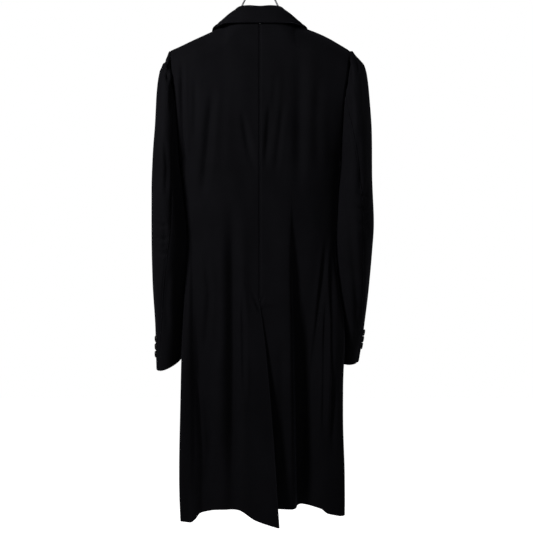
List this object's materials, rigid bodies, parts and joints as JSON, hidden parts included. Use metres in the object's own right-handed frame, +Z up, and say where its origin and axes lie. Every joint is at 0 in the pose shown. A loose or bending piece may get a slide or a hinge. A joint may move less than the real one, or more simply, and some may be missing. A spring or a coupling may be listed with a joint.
{
  "type": "chesterfield coat on wire hanger",
  "caption": "Long tailored single-breasted coat with notch lapels, two-piece sleeves and a back vent, hung on a wire hanger.",
  "frame": {"origin": "inside top of the hanger's hook, where a rail or a wall hook holds it", "axes": "+Z up, the coat's back towards -Y, +X to the wearer's right"},
  "size_m": [0.5092, 0.2331, 1.3238],
  "materials": {
    "wool": "smooth light wool with a faint sheen",
    "button": "satin",
    "steel": "bright drawn wire"
  },
  "bodies": {
    "root": {"back_left": "wool", "back_right": "wool", "front_left": "wool", "front_right": "wool", "topsleeve_left": "wool", "topsleeve_right": "wool", "undersleeve_left": "wool", "undersleeve_right": "wool", "collar_fall": "wool", "collar_stand": "wool", "lapel_left": "wool", "lapel_right": "wool", "front_button_1": "button", "front_button_2": "button", "front_button_3": "button", "cuff_button_left_1": "button", "cuff_button_left_2": "button", "cuff_button_left_3": "button", "cuff_button_right_1": "button", "cuff_button_right_2": "button", "cuff_button_right_3": "button", "hanger_hook": "steel", "hanger_arm_left": "steel", "hanger_arm_right": "steel", "hanger_bar": "steel"}
  },
  "joints": []
}
